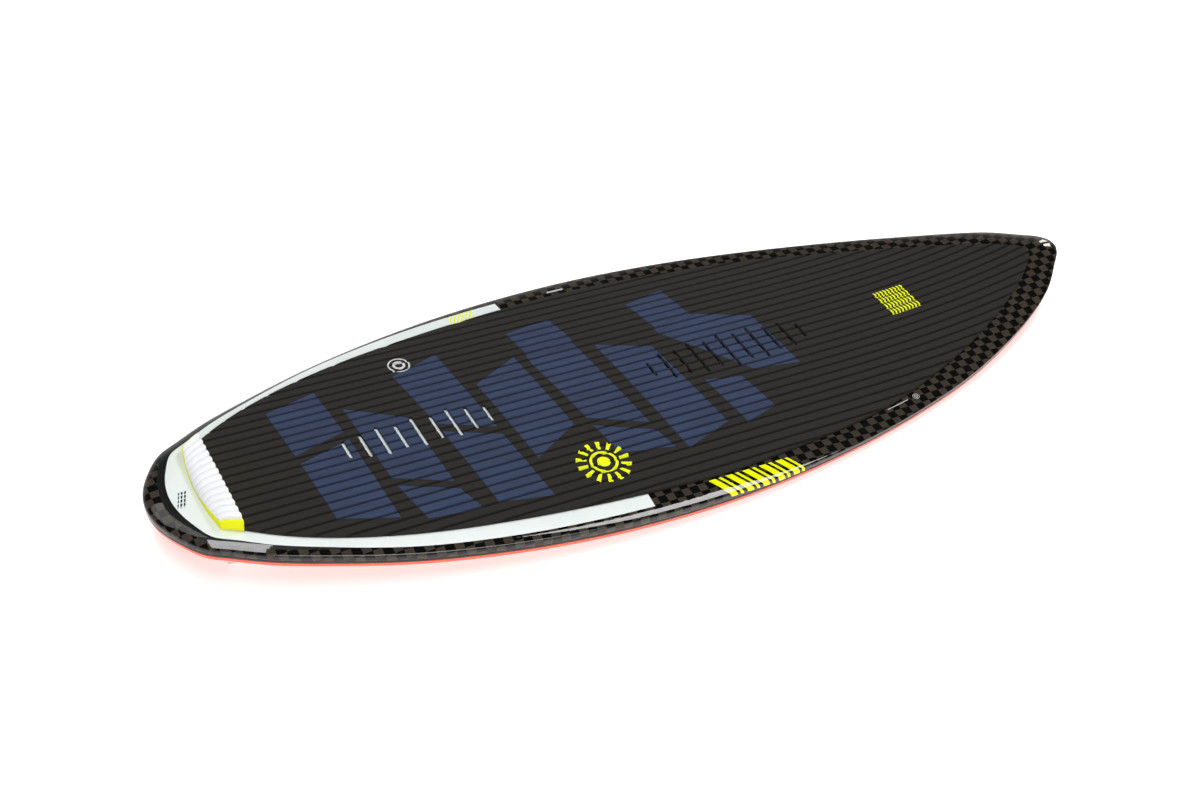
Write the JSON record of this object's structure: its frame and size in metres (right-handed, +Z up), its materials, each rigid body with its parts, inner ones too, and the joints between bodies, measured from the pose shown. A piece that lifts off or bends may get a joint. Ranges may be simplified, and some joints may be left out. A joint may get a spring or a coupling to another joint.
{
  "type": "wake surf board",
  "caption": "Short directional wake surf board with carbon rails, a grooved foam traction deck with slots and inlays, a raised tail kick and removable skim fins.",
  "frame": {"origin": "middle of the bounding box's bottom, on the surface that the fin tips and belly rest on", "axes": "+X towards the nose, +Y to port, +Z up; the board rests nose down by 2.6 degrees"},
  "size_m": [1.4262, 0.4938, 0.0908],
  "materials": {
    "carbon_laminate": "chequered spread-tow carbon under clear gloss",
    "seam_black": "satin black seam",
    "orange_paint": "gloss paint",
    "core_foam": "cut foam",
    "stringer_wood": "plain",
    "pad_foam": "matte grooved foam",
    "navy_foam": "matte grooved foam",
    "yellow_foam": "matte foam",
    "white_foam": "matte ribbed foam",
    "box_plastic": "moulded",
    "screw_steel": "plain",
    "fin_laminate": "translucent laminate"
  },
  "bodies": {
    "board": {"deck_shell": "carbon_laminate", "rail_band": "seam_black", "bottom_shell": "orange_paint", "foam_core_left": "core_foam", "foam_core_right": "core_foam", "stringer": "stringer_wood", "deck_pad": "pad_foam", "kick_base": "yellow_foam", "kick_top": "white_foam", "pad_inlay_1": "navy_foam", "pad_inlay_2": "navy_foam", "pad_inlay_3": "navy_foam", "pad_inlay_4": "navy_foam", "pad_inlay_5": "navy_foam", "pad_inlay_6": "navy_foam", "pad_inlay_7": "navy_foam", "pad_inlay_8": "navy_foam", "pad_inlay_9": "navy_foam", "pad_inlay_10": "navy_foam", "pad_inlay_11": "navy_foam", "pad_inlay_12": "navy_foam", "pad_inlay_13": "navy_foam", "pad_inlay_14": "navy_foam", "fin_box_left": "box_plastic", "fin_screw_left_front": "screw_steel", "fin_screw_left_rear": "screw_steel", "fin_box_right": "box_plastic", "fin_screw_right_front": "screw_steel", "fin_screw_right_rear": "screw_steel"},
    "left_fin": {"fin_left": "fin_laminate"},
    "right_fin": {"fin_right": "fin_laminate"}
  },
  "joints": [
    {"name": "left_fin_release", "type": "slide", "parent": "board", "child": "left_fin", "axis": [-0.073, 0.015, -0.9972], "range_m": [0, 0.018]},
    {"name": "right_fin_release", "type": "slide", "parent": "board", "child": "right_fin", "axis": [-0.073, -0.015, -0.9972], "range_m": [0, 0.018]}
  ]
}
